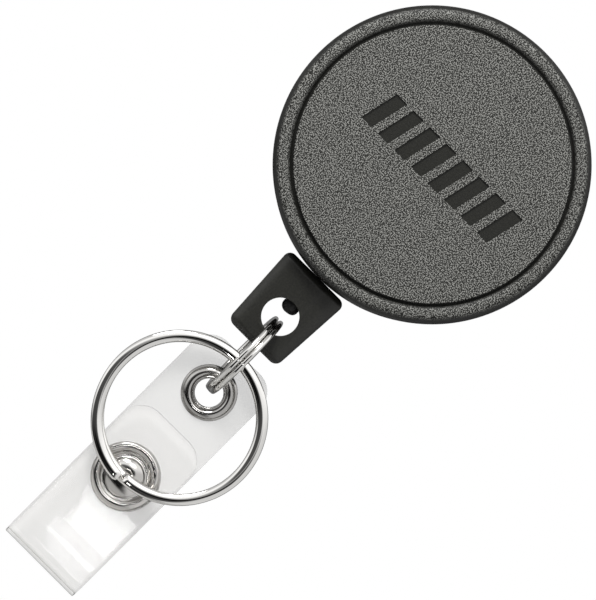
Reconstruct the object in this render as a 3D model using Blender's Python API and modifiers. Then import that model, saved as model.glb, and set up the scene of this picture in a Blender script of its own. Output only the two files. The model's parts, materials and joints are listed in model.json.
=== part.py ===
"""Retractable badge reel, hanging from its belt clip.

Front faces -Y and +Z is up. The origin is the centre of the clip plate's outer face, on the reel's
axis. Dimensions are in millimetres; the helpers turn them into Blender's metres.
"""

from math import cos, hypot, radians, sin, tau

import bmesh
import bpy
from mathutils import Matrix, Vector

MM = 0.001
MERGE = 0.00001

# Case: two turned shells that meet at the middle of their depth
CASE_RADIUS = 25.4
CASE_DEPTH = 15.0
CASE_BACK = 1.05                       # distance of the back face in front of the origin
CASE_FRONT = CASE_BACK + CASE_DEPTH
CASE_MIDDLE = CASE_BACK + CASE_DEPTH / 2
CASE_WALL = 1.6
EDGE_ROUND = 1.7
SEAM_GAP = 0.2
GROOVE_INNER = 22.1
GROOVE_OUTER = 23.0
GROOVE_DEPTH = 0.7
BAR_COUNT = 8
BAR_SIZE = (2.3, 6.6)
BAR_PITCH = 3.7
BAR_LEAN = 0.22
BAR_DEPTH = 0.35
BAR_CENTRE = (1.5, 0.6)

# Inside the case: post, washer, spool, power spring and cord
POST_RADIUS = 2.2
POST_CLEARANCE = 0.08
SPOOL_BACK = 4.0
SPOOL_FRONT = 13.2
SPOOL_FLANGE = 1.0
SPOOL_FLANGE_RADIUS = 20.5
SPOOL_DRUM_RADIUS = 13.2
SPRING_ROOM_RADIUS = 11.6
SPRING_TURNS = 7
SPRING_INNER = 3.2
SPRING_OUTER = 11.0
SPRING_THICK = 0.3
SPRING_WIDTH = 5.4
CORD_RADIUS = 0.5
WINDING_RADIUS = 17.0
WINDING_ROWS = 5

# Cord exit
BUSHING_RADIUS = 1.9
BUSHING_BORE = 0.9
BUSHING_FLANGE = 2.7
BUSHING_TOP = -22.7
BUSHING_BOTTOM = -25.3
CORD_BEND = -22.3
LEAD_END = -26.4

# End fitting
FITTING_TOP = -25.45
FITTING_BOTTOM = -40.45
FITTING_TOP_WIDTH = 12.8
FITTING_BOTTOM_WIDTH = 10.9
FITTING_DEPTH = 6.0
FITTING_X = -0.27
FITTING_ROUND = 1.0
FITTING_HOLE_Z = -34.25
FITTING_HOLE_RADIUS = 3.1
BULGE_RADIUS = 1.9                     # half-round over the cord's channel
BULGE_PROUD = 0.45
BULGE_LENGTH = 6.0
KNOT_Z = -32.25
KNOT_RADIUS = 1.2

# Split rings: radius of the wire's centre line, half the wire's width and half a turn's thickness
LINK_CENTRE = (0.25, -42.7)
LINK_YAW = 3.0                         # degrees; turns the ring's near side towards +X
LINK_RADIUS = 7.35
LINK_WIRE = 0.85
LINK_HALF_TURN = 0.5
KEY_TOP = (0.12, 11.45, -43.9)         # x, distance in front, z
KEY_RADIUS = 13.1
KEY_WIRE = 0.95
KEY_HALF_TURN = 0.52
KEY_LEAN = 7.2                         # degrees; the ring leans out over the snap
TURN_GAP = 0.1

# Vinyl strap, folded up in front and held by a snap
STRAP_X = 0.55
STRAP_WIDTH = 15.4
STRAP_THICK = 0.55
STRAP_TOP = -43.1
STRAP_CORNER = 4.0
FOLD_Z = -88.2
FOLD_RADIUS = 1.2
JOINT_GAP = 0.1
FLAP_WIDTH = 14.8
FLAP_TOP = -58.8
FLAP_CORNER = 4.0
GROMMET_Z = -51.0
GROMMET_BORE = 2.33
GROMMET_RADIUS = 4.6
SNAP_Z = -69.8
SNAP_RADIUS = 5.45
BACK_LAYER = CASE_MIDDLE               # distance of each layer's middle in front of the origin
FRONT_LAYER = CASE_MIDDLE + 2 * FOLD_RADIUS
REST_GAP = 0.05

# Belt clip
CLIP_WIDTH = 13.0
CLIP_THICK = 1.0
CLIP_BEND_Z = 20.0
CLIP_SPLIT = 0.2                       # gap where the spring bend leaves the plate
CLIP_BEND_RADIUS = 3.3
CLIP_BOTTOM = -21.0
CLIP_LIP = 2.2
RIVET_Z = 15.5
RIVET_RADIUS = 2.2
RIVET_SHANK = 1.2
RIVET_SEAT = 0.45


def collection(name):
    """Make a collection in the scene."""
    group = bpy.data.collections.new(name)
    bpy.context.scene.collection.children.link(group)
    return group


def material(name, colour, roughness, metallic=0.0, alpha=1.0):
    """Make one Principled material."""
    made = bpy.data.materials.new(name)
    made.use_nodes = True
    shader = made.node_tree.nodes["Principled BSDF"]
    shader.inputs["Base Color"].default_value = (*colour, 1.0)
    shader.inputs["Roughness"].default_value = roughness
    shader.inputs["Metallic"].default_value = metallic
    shader.inputs["Alpha"].default_value = alpha
    return made


def add(name, data, finish, group):
    """Link a named object with its material."""
    obj = bpy.data.objects.new(name, data)
    group.objects.link(obj)
    if finish:
        data.materials.append(finish)
    return obj


def turned(name, profile, finish, group, steps=48, closed=True, upright=False):
    """Turn a profile of (radius, height) about its axis, outer side first from top to bottom.

    The axis points to the front, or up when upright. A profile that isn't closed starts and ends
    on the axis.
    """
    mesh = bpy.data.meshes.new(name)
    points = [(radius * MM, 0, height * MM) for radius, height in profile]
    edges = [(i, i + 1) for i in range(len(points) - 1)]
    if closed:
        edges.append((len(points) - 1, 0))
    mesh.from_pydata(points, edges, [])
    obj = add(name, mesh, finish, group)
    if not upright:
        obj.rotation_euler = (radians(90), 0, 0)
    screw = obj.modifiers.new("turn", "SCREW")
    screw.steps = steps
    screw.render_steps = steps
    screw.use_merge_vertices = True
    screw.merge_threshold = MERGE
    screw.use_smooth_shade = True
    return obj


def flat(name, outlines, thickness, finish, group):
    """Extrude closed outlines in the local XY plane, by thickness about that plane."""
    curve = bpy.data.curves.new(name, "CURVE")
    curve.dimensions = "2D"
    curve.fill_mode = "BOTH"
    curve.extrude = thickness / 2 * MM
    curve.resolution_u = 1
    curve.render_resolution_u = 0
    for outline in outlines:
        spline = curve.splines.new("POLY")
        spline.points.add(len(outline) - 1)
        for point, (x, y) in zip(spline.points, outline):
            point.co = (x * MM, y * MM, 0, 1)
        spline.use_cyclic_u = True
    return add(name, curve, finish, group)


def wire(name, points, radius, finish, group):
    """Sweep a round wire along a list of points in millimetres."""
    curve = bpy.data.curves.new(name, "CURVE")
    curve.dimensions = "3D"
    curve.bevel_depth = radius * MM
    curve.bevel_resolution = 2
    curve.use_fill_caps = True
    curve.resolution_u = 1
    curve.render_resolution_u = 0
    spline = curve.splines.new("POLY")
    spline.points.add(len(points) - 1)
    for point, place in zip(spline.points, points):
        point.co = (*(value * MM for value in place), 1)
    return add(name, curve, finish, group)


def cylinder_cutter(name, radius, length, centre, axis, group, segments=32):
    """Make a round cutter along the Y or Z axis."""
    mesh = bpy.data.meshes.new(name)
    shape = bmesh.new()
    bmesh.ops.create_cone(
        shape,
        cap_ends=True,
        segments=segments,
        radius1=radius * MM,
        radius2=radius * MM,
        depth=length * MM,
    )
    shape.to_mesh(mesh)
    shape.free()
    obj = add(name, mesh, None, group)
    obj.location = Vector(centre) * MM
    if axis == "Y":
        obj.rotation_euler = (radians(90), 0, 0)
    return as_cutter(obj)


def as_cutter(obj):
    """Keep a cutter out of the finished model."""
    obj.display_type = "WIRE"
    obj.hide_render = True
    return obj


def boolean(obj, cutter, operation="DIFFERENCE"):
    """Cut an object with another, or join another to it."""
    change = obj.modifiers.new(cutter.name, "BOOLEAN")
    change.object = cutter
    change.operation = operation
    change.solver = "EXACT"


def as_mesh(obj, group):
    """Replace a curve object with a closed mesh of the same name, which a Boolean can change."""
    bpy.context.view_layer.update()
    graph = bpy.context.evaluated_depsgraph_get()
    mesh = bpy.data.meshes.new_from_object(obj.evaluated_get(graph))
    shape = bmesh.new()
    shape.from_mesh(mesh)
    bmesh.ops.remove_doubles(shape, verts=shape.verts, dist=MERGE)
    shape.to_mesh(mesh)
    shape.free()
    name = obj.name
    place = obj.matrix_world.copy()
    bpy.data.objects.remove(obj)
    made = bpy.data.objects.new(name, mesh)
    group.objects.link(made)
    made.matrix_world = place
    return made


def arc(centre, radius, start, end, steps):
    """Points on an arc in the plane, angles in degrees."""
    turn = [radians(start + (end - start) * i / steps) for i in range(steps + 1)]
    return [(centre[0] + radius * cos(a), centre[1] + radius * sin(a)) for a in turn]


def ribbon(line, thickness):
    """The closed outline of a strip of even thickness along a line in the plane."""
    left = []
    right = []
    last = len(line) - 1
    for i, (x, y) in enumerate(line):
        before = line[max(i - 1, 0)]
        after = line[min(i + 1, last)]
        run = (after[0] - before[0], after[1] - before[1])
        scale = thickness / 2 / hypot(*run)
        left.append((x - run[1] * scale, y + run[0] * scale))
        right.append((x + run[1] * scale, y - run[0] * scale))
    return left + right[::-1]


def tongue_outline(width, top, bottom, corner, steps=6):
    """A strip's outline with two round corners at its top end."""
    half = width / 2
    left = arc((-half + corner, top - corner), corner, 180, 90, steps)
    right = arc((half - corner, top - corner), corner, 90, 0, steps)
    return left + right + [(half, bottom), (-half, bottom)]


def front_cover(finish, group, cutters):
    """The front shell: grooved face, round edge, and a side wall back to the seam."""
    seam = CASE_MIDDLE + SEAM_GAP / 2
    edge = arc((CASE_RADIUS - EDGE_ROUND, CASE_FRONT - EDGE_ROUND), EDGE_ROUND, 90, 0, 4)
    floor = CASE_FRONT - GROOVE_DEPTH
    inside = CASE_RADIUS - CASE_WALL
    profile = [
        (0, CASE_FRONT),
        (GROOVE_INNER, CASE_FRONT),
        (GROOVE_INNER + 0.15, floor),
        (GROOVE_OUTER - 0.15, floor),
        (GROOVE_OUTER, CASE_FRONT),
        *edge,
        (CASE_RADIUS, seam),
        (inside, seam),
        (inside, CASE_FRONT - CASE_WALL),
        (0, CASE_FRONT - CASE_WALL),
    ]
    cover = turned("front_cover", profile, finish, group, steps=64, closed=False)
    boolean(cover, bar_cutter(cutters))
    return cover


def bar_cutter(group):
    """A row of leaning bars, sunk into the face as plain decoration."""
    shape = bmesh.new()
    width, height = BAR_SIZE
    for i in range(BAR_COUNT):
        x = BAR_CENTRE[0] + (i - (BAR_COUNT - 1) / 2) * BAR_PITCH
        place = Matrix.Translation(Vector((x, -CASE_FRONT, BAR_CENTRE[1])) * MM)
        size = Matrix.Diagonal((width * MM, 2 * BAR_DEPTH * MM, height * MM, 1))
        lean = Matrix.Shear("XY", 4, (BAR_LEAN, 0))
        bmesh.ops.create_cube(shape, size=1.0, matrix=place @ lean @ size)
    mesh = bpy.data.meshes.new("bar_cutter")
    shape.to_mesh(mesh)
    shape.free()
    return as_cutter(add("bar_cutter", mesh, None, group))


def back_shell(finish, group):
    """The back shell: flat back, round edge, and a side wall forward to the seam."""
    seam = CASE_MIDDLE - SEAM_GAP / 2
    edge = arc((CASE_RADIUS - EDGE_ROUND, CASE_BACK + EDGE_ROUND), EDGE_ROUND, 0, -90, 4)
    inside = CASE_RADIUS - CASE_WALL
    profile = [
        (0, CASE_BACK + CASE_WALL),
        (inside, CASE_BACK + CASE_WALL),
        (inside, seam),
        (CASE_RADIUS, seam),
        *edge,
        (0, CASE_BACK),
    ]
    return turned("back_shell", profile, finish, group, steps=64, closed=False)


def inner_works(finishes, group):
    """Post, washer, spool with its lid, power spring and wound cord."""
    post_foot = CASE_BACK + CASE_WALL + REST_GAP
    post = [
        (0, CASE_FRONT - CASE_WALL - 0.3),
        (POST_RADIUS, CASE_FRONT - CASE_WALL - 0.3),
        (POST_RADIUS, post_foot + 0.5),
        (POST_RADIUS + 2.3, post_foot + 0.5),
        (POST_RADIUS + 2.3, post_foot),
        (0, post_foot),
    ]
    turned("center_post", post, finishes["steel"], group, steps=32, closed=False)

    bore = POST_RADIUS + POST_CLEARANCE
    washer_back = post_foot + 0.5 + REST_GAP
    washer = [
        (6.0, SPOOL_BACK - REST_GAP),
        (6.0, washer_back),
        (bore, washer_back),
        (bore, SPOOL_BACK - REST_GAP),
    ]
    turned("thrust_washer", washer, finishes["white"], group, steps=32)

    room_floor = SPOOL_BACK + SPOOL_FLANGE
    lid_back = SPOOL_FRONT - SPOOL_FLANGE
    spool = [
        (SPOOL_FLANGE_RADIUS, SPOOL_FRONT),
        (SPOOL_FLANGE_RADIUS, lid_back),
        (SPOOL_DRUM_RADIUS, lid_back),
        (SPOOL_DRUM_RADIUS, room_floor),
        (SPOOL_FLANGE_RADIUS, room_floor),
        (SPOOL_FLANGE_RADIUS, SPOOL_BACK),
        (bore, SPOOL_BACK),
        (bore, room_floor),
        (SPRING_ROOM_RADIUS, room_floor),
        (SPRING_ROOM_RADIUS, SPOOL_FRONT),
    ]
    turned("spool", spool, finishes["white"], group, steps=48)
    lid_radius = SPRING_ROOM_RADIUS - REST_GAP
    lid = [(lid_radius, SPOOL_FRONT), (lid_radius, lid_back), (bore, lid_back), (bore, SPOOL_FRONT)]
    turned("spool_lid", lid, finishes["white"], group, steps=48)

    count = SPRING_TURNS * 20
    line = []
    for i in range(count + 1):
        radius = SPRING_INNER + (SPRING_OUTER - SPRING_INNER) * i / count
        angle = tau * SPRING_TURNS * i / count
        line.append((radius * cos(angle), radius * sin(angle)))
    spring = flat("power_spring", [ribbon(line, SPRING_THICK)], SPRING_WIDTH, finishes["steel"], group)
    spring.rotation_euler = (radians(90), 0, 0)
    spring.location = (0, -(room_floor + lid_back) / 2 * MM, 0)

    low = room_floor + 0.3
    high = lid_back - 0.3
    row = (high - low) / WINDING_ROWS
    outer = []
    for i in range(WINDING_ROWS):
        middle = high - (i + 0.5) * row
        outer += [(WINDING_RADIUS - 0.25, middle + row / 2), (WINDING_RADIUS, middle)]
    outer.append((WINDING_RADIUS - 0.25, low))
    inner_radius = SPOOL_DRUM_RADIUS + REST_GAP
    winding = [*outer, (inner_radius, low), (inner_radius, high)]
    turned("cord_winding", winding, finishes["cord"], group, steps=48)


def cord_exit(shells, finishes, group, cutters):
    """The cord's way out: its run off the winding, the bushing in the seam, and the lead."""
    middle = (0, -CASE_MIDDLE, (BUSHING_TOP + BUSHING_BOTTOM) / 2)
    hole = cylinder_cutter("exit_cutter", BUSHING_RADIUS + REST_GAP, 6, middle, "Z", cutters, 24)
    for shell in shells:
        boolean(shell, hole)

    bushing = [
        (BUSHING_FLANGE, BUSHING_TOP),
        (BUSHING_FLANGE, BUSHING_TOP - 0.6),
        (BUSHING_RADIUS, BUSHING_TOP - 0.6),
        (BUSHING_RADIUS, BUSHING_BOTTOM),
        (BUSHING_BORE, BUSHING_BOTTOM),
        (BUSHING_BORE, BUSHING_TOP - 0.5),
        (BUSHING_BORE + 0.5, BUSHING_TOP),
    ]
    made = turned("exit_bushing", bushing, finishes["fitting"], group, steps=24, upright=True)
    made.location = (0, -CASE_MIDDLE * MM, 0)

    clear = WINDING_RADIUS + CORD_RADIUS + 0.2
    drop = clear**2 / -CORD_BEND
    start = ((clear**2 - drop**2) ** 0.5, -CASE_MIDDLE, -drop)
    wire("cord_run", [start, (0, -CASE_MIDDLE, CORD_BEND)], CORD_RADIUS, finishes["cord"], group)
    lead_top = CORD_BEND - CORD_RADIUS - 0.2
    lead = [(0, -CASE_MIDDLE, lead_top), (0, -CASE_MIDDLE, LEAD_END)]
    wire("cord_lead", lead, CORD_RADIUS, finishes["cord"], group)


def end_fitting(finishes, group, cutters):
    """The moulded block that the cord is knotted into, with its hole for the link ring."""
    shape = bmesh.new()
    bmesh.ops.create_cube(shape, size=1.0)
    for vertex in shape.verts:
        top = vertex.co.z > 0
        width = FITTING_TOP_WIDTH if top else FITTING_BOTTOM_WIDTH
        vertex.co.x = (FITTING_X + width * vertex.co.x) * MM
        vertex.co.y = (-CASE_MIDDLE + FITTING_DEPTH * vertex.co.y) * MM
        vertex.co.z = (FITTING_TOP if top else FITTING_BOTTOM) * MM
    mesh = bpy.data.meshes.new("end_fitting")
    shape.to_mesh(mesh)
    shape.free()
    block = add("end_fitting", mesh, finishes["fitting"], group)
    rounding = block.modifiers.new("rounding", "BEVEL")
    rounding.width = FITTING_ROUND * MM
    rounding.segments = 3
    rounding.limit_method = "ANGLE"

    bulge_y = -CASE_MIDDLE - FITTING_DEPTH / 2 + BULGE_RADIUS - BULGE_PROUD
    bulge_centre = (0, bulge_y, FITTING_TOP - FITTING_ROUND / 2 - BULGE_LENGTH / 2)
    bulge = cylinder_cutter("bulge", BULGE_RADIUS, BULGE_LENGTH, bulge_centre, "Z", cutters)
    boolean(block, bulge, "UNION")
    centre = (0, -CASE_MIDDLE, FITTING_HOLE_Z)
    radius = FITTING_HOLE_RADIUS
    boolean(block, cylinder_cutter("link_hole", radius, 3 * FITTING_DEPTH, centre, "Y", cutters))
    channel_centre = (0, -CASE_MIDDLE, FITTING_TOP - 2)
    radius = CORD_RADIUS + 0.4
    boolean(block, cylinder_cutter("channel", radius, 10, channel_centre, "Z", cutters, 16))

    stub_top = LEAD_END - 0.3
    ball = arc((0, KNOT_Z), KNOT_RADIUS, 60, -90, 6)
    neck = [(0, stub_top), (CORD_RADIUS, stub_top), (CORD_RADIUS, ball[0][1] + 0.2)]
    profile = [*neck, *ball[:-1], (0, KNOT_Z - KNOT_RADIUS)]
    knot = turned("cord_knot", profile, finishes["cord"], group, 16, closed=False, upright=True)
    knot.location = (0, -CASE_MIDDLE * MM, 0)


def split_ring(name, radius, half_width, half_turn, steps, finish, group):
    """Two turns of flattened wire side by side, stepping over beside the ends, in the XY plane.

    The wire is swept round and then flattened by the object's own scale along the ring's axis.
    """
    flatten = half_turn / half_width
    shift = (half_turn + TURN_GAP / 2) / flatten
    clear = 16
    points = []
    count = round(steps * (720 - 2 * clear) / 360)
    for i in range(count + 1):
        angle = clear + (720 - 2 * clear) * i / count
        across = min(max((angle - 360 + clear) / (2 * clear), 0), 1)
        height = shift * (1 - 2 * across)
        turn = radians(angle)
        points.append((radius * cos(turn), radius * sin(turn), height))
    ring = wire(name, points, half_width, finish, group)
    ring.scale = (1, 1, flatten)
    return ring


def rings(finish, group):
    """The small link ring, edge on to the front, and the large key ring that leans over the snap."""
    link = split_ring("link_ring", LINK_RADIUS, LINK_WIRE, LINK_HALF_TURN, 32, finish, group)
    link.rotation_euler = (radians(90), radians(90), radians(90 + LINK_YAW))
    link.location = Vector((LINK_CENTRE[0], -CASE_MIDDLE, LINK_CENTRE[1])) * MM

    key = split_ring("key_ring", KEY_RADIUS, KEY_WIRE, KEY_HALF_TURN, 48, finish, group)
    pivot = bpy.data.objects.new("key_ring_pivot", None)
    group.objects.link(pivot)
    pivot.location = Vector((KEY_TOP[0], -KEY_TOP[1], KEY_TOP[2])) * MM
    pivot.rotation_euler = (radians(-KEY_LEAN), 0, 0)
    key.parent = pivot
    key.location = (0, 0, -KEY_RADIUS * MM)
    key.rotation_euler = (radians(90), radians(90), 0)


def stand(obj, front):
    """Turn a flat shape upright, facing the front at the given distance."""
    obj.rotation_euler = (radians(90), 0, 0)
    obj.location = (STRAP_X * MM, -front * MM, 0)


def strap(finishes, group):
    """The clear strap: back layer, fold and front flap, each with its holes."""
    bottom = FOLD_Z + JOINT_GAP
    eyelet_hole = arc((0, GROMMET_Z), GROMMET_BORE + 0.75, 0, 337.5, 15)
    stud_hole = arc((0, SNAP_Z), 1.7, 0, 330, 11)
    back = [tongue_outline(STRAP_WIDTH, STRAP_TOP, bottom, STRAP_CORNER), eyelet_hole, stud_hole]
    stand(flat("strap_back", back, STRAP_THICK, finishes["vinyl"], group), BACK_LAYER)
    front = [tongue_outline(FLAP_WIDTH, FLAP_TOP, bottom, FLAP_CORNER), stud_hole]
    stand(flat("strap_flap", front, STRAP_THICK, finishes["vinyl"], group), FRONT_LAYER)

    middle = (-(BACK_LAYER + FRONT_LAYER) / 2, FOLD_Z)
    bend = ribbon(arc(middle, FOLD_RADIUS, 0, -180, 10), STRAP_THICK)
    fold = flat("strap_fold", [bend], STRAP_WIDTH, finishes["vinyl"], group)
    fold.rotation_euler = (radians(90), 0, radians(90))
    fold.location = (STRAP_X * MM, 0, 0)


def strap_metal(finishes, group):
    """The grommet's two halves and the snap's four pieces."""
    metal = finishes["nickel"]
    face = BACK_LAYER + STRAP_THICK / 2 + REST_GAP
    rear = BACK_LAYER - STRAP_THICK / 2 - REST_GAP
    barrel = GROMMET_BORE + 0.45
    eyelet = [
        (GROMMET_BORE + 0.5, face + 1.0),
        (GROMMET_BORE + 1.1, face + 0.7),
        (GROMMET_RADIUS - 0.7, face + 0.45),
        (GROMMET_RADIUS, face + 0.25),
        (GROMMET_RADIUS, face),
        (barrel, face),
        (barrel, rear - 0.1),
        (GROMMET_BORE, rear - 0.1),
        (GROMMET_BORE, face + 0.7),
    ]
    washer = [
        (GROMMET_RADIUS, rear),
        (GROMMET_RADIUS - 0.3, rear - 0.5),
        (barrel + 0.6, rear - 0.8),
        (barrel + 0.15, rear - 0.6),
        (barrel + 0.15, rear),
    ]
    for name, profile in (("grommet_eyelet", eyelet), ("grommet_washer", washer)):
        turned(name, profile, metal, group, steps=32).location = Vector((STRAP_X, 0, GROMMET_Z)) * MM

    flap_face = FRONT_LAYER + STRAP_THICK / 2 + REST_GAP
    flap_rear = FRONT_LAYER - STRAP_THICK / 2 - REST_GAP
    cap = [
        (0, flap_face + 0.75),
        (1.7, flap_face + 0.55),
        (2.3, flap_face + 0.25),
        (3.5, flap_face + 0.25),
        (4.3, flap_face + 0.95),
        (5.0, flap_face + 0.8),
        (SNAP_RADIUS, flap_face + 0.3),
        (SNAP_RADIUS - 0.2, flap_face),
        (1.4, flap_face),
        (1.4, flap_rear + 0.1),
        (0, flap_rear + 0.1),
    ]
    turned("snap_cap", cap, metal, group, 32, False).location = Vector((STRAP_X, 0, SNAP_Z)) * MM
    socket = [
        (3.9, flap_rear),
        (4.1, flap_rear - 0.4),
        (3.7, flap_rear - 1.2),
        (1.95, flap_rear - 1.2),
        (1.95, flap_rear - 0.4),
        (0, flap_rear - 0.4),
    ]
    socket = [(0, flap_rear), *socket]
    turned("snap_socket", socket, metal, group, 32, False).location = Vector((STRAP_X, 0, SNAP_Z)) * MM
    stud = [
        (0, face + 1.2),
        (1.3, face + 1.2),
        (1.6, face + 0.9),
        (1.5, face + 0.25),
        (3.9, face + 0.25),
        (3.9, face),
        (0, face),
    ]
    turned("snap_stud", stud, metal, group, 32, False).location = Vector((STRAP_X, 0, SNAP_Z)) * MM
    eyelet = [
        (0, face - 0.1),
        (1.4, face - 0.1),
        (1.4, rear),
        (SNAP_RADIUS + 0.2, rear),
        (SNAP_RADIUS + 0.2, rear - 0.3),
        (4.8, rear - 0.85),
        (2.4, rear - 0.3),
        (0, rear - 0.3),
    ]
    turned("snap_eyelet", eyelet, metal, group, 32, False).location = Vector((STRAP_X, 0, SNAP_Z)) * MM


def belt_clip(shell, finishes, group, cutters):
    """The clip plate, riveted to the back shell, and its spring tongue, drawn from the side."""
    middle = -CLIP_THICK / 2
    plate_line = [(middle, CLIP_BOTTOM), (middle, CLIP_BEND_Z - CLIP_SPLIT)]
    plate = flat("clip_plate", [ribbon(plate_line, CLIP_THICK)], CLIP_WIDTH, finishes["steel"], group)

    bend = arc((middle + CLIP_BEND_RADIUS, CLIP_BEND_Z), CLIP_BEND_RADIUS, 180, 0, 10)
    out = middle + 2 * CLIP_BEND_RADIUS
    run = [
        (out, CLIP_BEND_Z - 14),
        (out - 0.7, CLIP_BOTTOM + 8),
        (out - 1.2, CLIP_BOTTOM + 4),
        (out - 0.6, CLIP_BOTTOM + 1.5),
        (out - 0.6 + CLIP_LIP, CLIP_BOTTOM - 1.5),
    ]
    tongue = flat("clip_tongue", [ribbon(bend + run, CLIP_THICK)], CLIP_WIDTH, finishes["steel"], group)
    for piece in (plate, tongue):
        piece.rotation_euler = (radians(90), 0, radians(90))

    plate = as_mesh(plate, group)
    for name, z in (("clip_rivet_upper", RIVET_Z), ("clip_rivet_lower", -RIVET_Z)):
        centre = (0, 0, z)
        wide = RIVET_RADIUS + REST_GAP
        hole = cylinder_cutter(name + "_hole", RIVET_SHANK + REST_GAP, 8, centre, "Y", cutters, 24)
        seat = cylinder_cutter(name + "_seat", wide, 2 * RIVET_SEAT, centre, "Y", cutters, 24)
        boolean(plate, hole)
        boolean(plate, seat)
        boolean(shell, hole)
        rivet(name, z, finishes["steel"], group)


def rivet(name, z, finish, group):
    """A rivet with a flat head inside the case and one sunk in the clip plate, clear of the belt."""
    inside = CASE_BACK + CASE_WALL + REST_GAP
    profile = [
        (0, inside + 0.6),
        (RIVET_RADIUS, inside + 0.6),
        (RIVET_RADIUS, inside),
        (RIVET_SHANK, inside),
        (RIVET_SHANK, RIVET_SEAT - REST_GAP),
        (RIVET_RADIUS, RIVET_SEAT - REST_GAP),
        (RIVET_RADIUS, 2 * REST_GAP),
        (RIVET_RADIUS - 0.2, REST_GAP),
        (0, REST_GAP),
    ]
    turned(name, profile, finish, group, 24, False).location = (0, 0, z * MM)


def build():
    """Clear the scene and make every piece."""
    for obj in list(bpy.data.objects):
        bpy.data.objects.remove(obj)
    reel = collection("badge_reel")
    cutters = collection("cutters")
    finishes = {
        "case": material("case_plastic", (0.12, 0.115, 0.11), 0.6),
        "fitting": material("fitting_plastic", (0.025, 0.025, 0.025), 0.35),
        "white": material("spool_plastic", (0.8, 0.8, 0.78), 0.5),
        "cord": material("cord_nylon", (0.02, 0.02, 0.02), 0.7),
        "steel": material("clip_steel", (0.55, 0.55, 0.55), 0.3, 1.0),
        "nickel": material("nickel_plate", (0.7, 0.7, 0.69), 0.2, 1.0),
        "vinyl": material("clear_vinyl", (0.85, 0.85, 0.85), 0.15, 0.0, 0.35),
    }
    cover = front_cover(finishes["case"], reel, cutters)
    shell = back_shell(finishes["case"], reel)
    inner_works(finishes, reel)
    cord_exit((cover, shell), finishes, reel, cutters)
    end_fitting(finishes, reel, cutters)
    rings(finishes["nickel"], reel)
    strap(finishes, reel)
    strap_metal(finishes, reel)
    belt_clip(shell, finishes, reel, cutters)


build()
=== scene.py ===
"""Looks of the retractable badge reel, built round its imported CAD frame.

The reel hangs with its front towards -Y and +Z up. Sizes are in millimetres, except that lights and their
places are in metres.
"""

import json
from math import copysign, cos, exp, pi, radians, sin, sqrt, tau

import bmesh
import bpy
from mathutils import Matrix, Vector

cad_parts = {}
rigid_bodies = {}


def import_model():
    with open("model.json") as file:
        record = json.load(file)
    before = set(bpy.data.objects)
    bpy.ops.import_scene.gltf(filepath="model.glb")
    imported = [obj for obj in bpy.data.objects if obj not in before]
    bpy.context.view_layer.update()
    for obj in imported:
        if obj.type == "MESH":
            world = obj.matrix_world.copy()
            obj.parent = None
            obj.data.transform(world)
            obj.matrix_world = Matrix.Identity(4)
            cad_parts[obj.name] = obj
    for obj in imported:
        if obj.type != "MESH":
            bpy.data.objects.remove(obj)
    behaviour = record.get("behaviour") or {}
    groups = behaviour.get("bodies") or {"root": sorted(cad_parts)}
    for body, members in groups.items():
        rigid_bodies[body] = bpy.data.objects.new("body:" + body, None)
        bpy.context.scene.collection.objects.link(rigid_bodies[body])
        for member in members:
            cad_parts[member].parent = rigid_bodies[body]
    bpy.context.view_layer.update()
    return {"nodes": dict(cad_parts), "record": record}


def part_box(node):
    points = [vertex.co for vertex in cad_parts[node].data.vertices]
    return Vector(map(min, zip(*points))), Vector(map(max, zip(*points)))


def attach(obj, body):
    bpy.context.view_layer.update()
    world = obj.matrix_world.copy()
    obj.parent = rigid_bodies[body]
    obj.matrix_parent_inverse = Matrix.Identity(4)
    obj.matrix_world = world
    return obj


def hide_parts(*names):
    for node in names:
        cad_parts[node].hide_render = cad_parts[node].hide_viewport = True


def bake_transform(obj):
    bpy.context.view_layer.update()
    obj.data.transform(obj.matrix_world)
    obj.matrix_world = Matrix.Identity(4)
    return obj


MM = 0.001

# Camera: square on to the front, rolled so that the strap hangs to the lower left
VIEW_CENTRE = (0.116, -30.296)
VIEW_HEIGHT = 95.98
VIEW_DEPTH = 4.0  # the view's height is measured this far behind the front face
CAMERA_DISTANCE = 450.0
CAMERA_ROLL = 45.0
CAMERA_REACH = 100.0  # metres
SENSOR = 36.0
PICTURE_UP = Vector((-sin(radians(CAMERA_ROLL)), 0, cos(radians(CAMERA_ROLL))))
PICTURE_RIGHT = Vector((cos(radians(CAMERA_ROLL)), 0, sin(radians(CAMERA_ROLL))))
FRONT = Vector((0, -1, 0))

# Case: the groove is (radius, depth) points across it
CASE_WALL = 1.6
EDGE_ROUND = 1.7
SEAM_CHAMFER = 0.15
CASE_STEPS = 192
GROOVE = [(22.0, 0), (22.1, 0.1), (22.2, 0.6), (22.38, 0.6), (23.0, 0.08), (23.15, 0)]

# The row of sunk bars, and the black tile on each bar's floor, which reaches a little into its walls
BAR_COUNT = 8
BAR_SIZE = (2.3, 6.6)
BAR_PITCH = 3.7
BAR_LEAN = 0.22  # shift along x for each millimetre of height
BAR_DEPTH = 0.35
BAR_CENTRE = (1.5, 0.6)
TILE_THICK = 0.1
TILE_OVERLAP = 0.04

# End fitting: a squared-off block, pulled in towards its sides, with a swelling over the cord's channel
FITTING_DEPTH = 6.0
FITTING_ROUND = 1.3
FITTING_TAPER = 0.86
FITTING_SQUARE = 0.32
FITTING_PILLOW = 0.42
FITTING_RIM = 0.15
FITTING_HOLE_Z = -34.25
FITTING_HOLE_RADIUS = 3.1
FITTING_CUT_LENGTH = 20.0
SWELL_HEIGHT = 0.42
SWELL_WIDTH = 1.6
SWELL_RISE = 2.5  # above the hole's middle
SWELL_FALL = 1.0
SWELL_MARGIN = 0.4  # of its end below the fitting's top
CHANNEL_RADIUS = 0.9
CHANNEL_LENGTH = 9.0
CHANNEL_DROP = 1.5  # of its cutter's middle below the fitting's top

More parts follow.
